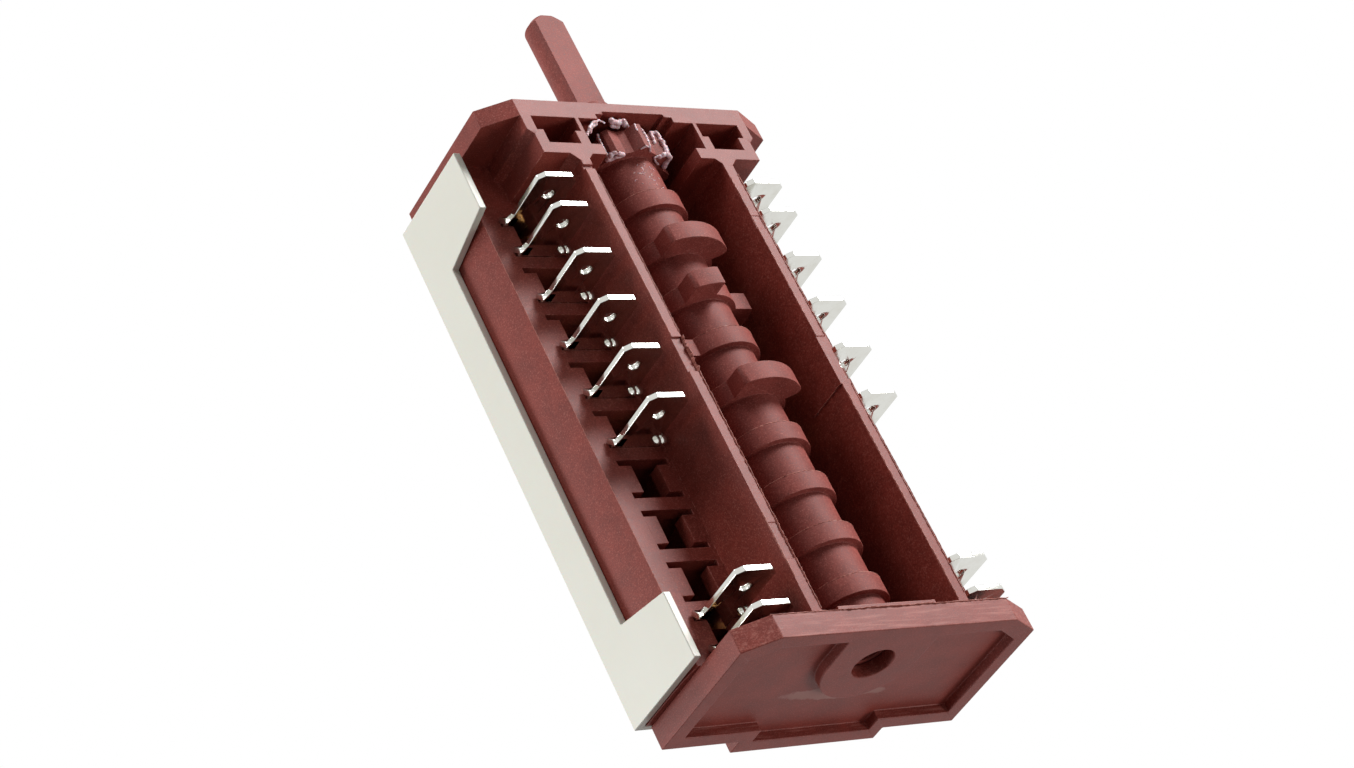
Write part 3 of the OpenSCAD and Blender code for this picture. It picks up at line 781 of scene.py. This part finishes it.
def grease_ridge(name, paths, body):
    """Smeared grease along paths of (points, radius), all in mm, melted into one soft skin."""
    blobs = []
    for points, radius in paths:
        points = [Vector(point) for point in points]
        for first, second in zip(points, points[1:]):
            count = max(1, int((second - first).length / (radius * 0.6)))
            for step in range(count + 1):
                place = first.lerp(second, step / count)
                place += Vector([random.uniform(-0.25, 0.25) * radius for _ in range(3)])
                deselect_all()
                bpy.ops.mesh.primitive_ico_sphere_add(
                    subdivisions=2, radius=radius * random.uniform(0.75, 1.2) * MM, location=place * MM)
                blobs.append(bpy.context.object)
    smear = join_pieces(blobs, name)
    settle(smear)
    skin = smear.modifiers.new("skin", "REMESH")
    skin.mode = "VOXEL"
    skin.voxel_size = 0.07 * MM
    soft = smear.modifiers.new("soft", "SMOOTH")
    soft.factor = 0.6
    soft.iterations = 7
    apply_modifiers(smear)
    shade(smear, 80)
    finish_piece(smear, body, grease)
    return smear


def add_grease():
    """Grease that the star wheel has pushed up on its teeth, and what it left beside them."""
    front, rear = 3.35, 7.35
    left, centre, right = 39.0, -1.0, -41.0
    tooth_paths = [
        ([polar(7.1, left + 8, front), polar(7.15, left + 9, 5.2), polar(7.0, left + 9, rear)], 0.2),
        ([polar(6.7, left + 9, front + 0.2), polar(6.6, left + 10, 5.2), polar(6.6, left + 9, rear)], 0.26),
        ([polar(6.2, left - 9, rear), polar(6.7, left - 4, rear), polar(7.2, left, rear),
          polar(7.1, left + 5, rear), polar(6.5, left + 12, rear)], 0.32),
        ([polar(6.0, left - 6, rear), polar(6.3, left + 1, rear + 0.1), polar(6.2, left + 8, rear)], 0.26),
        ([polar(7.25, centre + 3, front), polar(7.3, centre + 4, 4.6)], 0.14),
        ([polar(7.3, centre - 3, 4.2), polar(7.3, centre - 4, 5.8), polar(7.2, centre - 3, rear)], 0.18),
        ([polar(6.2, centre - 10, rear), polar(7.0, centre - 4, rear), polar(7.2, centre + 2, rear),
          polar(6.6, centre + 7, rear)], 0.17),
        ([polar(7.2, right + 4, front), polar(7.35, right + 4, 5.3), polar(7.2, right + 4, rear)], 0.32),
        ([polar(7.2, right - 4, front), polar(7.4, right - 5, 5.3), polar(7.2, right - 5, rear)], 0.3),
        ([polar(6.2, right + 10, rear), polar(7.1, right + 4, rear), polar(7.3, right - 4, rear),
          polar(6.4, right - 12, rear + 0.1), polar(6.0, right - 16, rear + 0.1)], 0.36),
        ([polar(6.5, right + 9, front), polar(7.1, right + 3, front), polar(7.2, right - 3, front)], 0.32),
        ([polar(6.6, right + 9, front), polar(6.5, right + 10, 5.0)], 0.3),
        ([polar(6.2, right + 11, rear), polar(5.6, right + 16, rear + 0.1), polar(5.3, right + 6, rear + 0.2),
          polar(5.4, right - 4, rear + 0.2)], 0.15)]
    for _ in range(26):
        y, angle, turn = random.uniform(8.3, 12.6), random.uniform(-24, 26), random.uniform(-5, 5)
        tooth_paths.append(([polar(4.9, angle, y), polar(4.9, angle + turn, y + random.uniform(0.1, 0.5))], 0.07))
    grease_ridge("star_grease", tooth_paths, "drum")
    side_paths = [
        ([(0.7, 2.75, 6.2), (1.6, 2.7, 6.9), (2.6, 2.65, 6.7), (3.7, 2.7, 7.0)], 0.42),
        ([(2.2, 2.8, 6.1), (3.3, 2.8, 6.2)], 0.36),
        ([(6.2, 3.0, 7.3), (7.4, 3.5, 7.3), (8.3, 4.4, 7.15), (8.9, 5.4, 6.7)], 0.22),
        ([(6.6, 3.3, 6.9), (7.4, 3.8, 6.9), (8.0, 4.6, 6.6)], 0.26),
        ([(6.2, 3.0, 7.3), (5.5, 3.05, 7.1), (4.9, 3.0, 6.8)], 0.14)]
    grease_ridge("flange_grease", side_paths, "body")


make_scene_settings()
make_camera()
make_world(0.2)
make_lamp("key", (-0.52, -0.5, 0.7), (0, 0.04, 0), 0.45, 15.5)
make_lamp("low", (0.8, 0.0, -0.85), (0, 0.04, 0), 0.6, 10.5)
make_lamp("front", (0.6, -0.9, 0.2), (0, 0, 0), 0.5, 7.0)
make_lamp("fill", (-0.6, 0.8, 0.4), (0, 0.06, 0), 0.45, 4.2)
dress_mouldings()
dress_metal()
add_blade_details()
add_flash()
add_ring_flash()
add_grease()
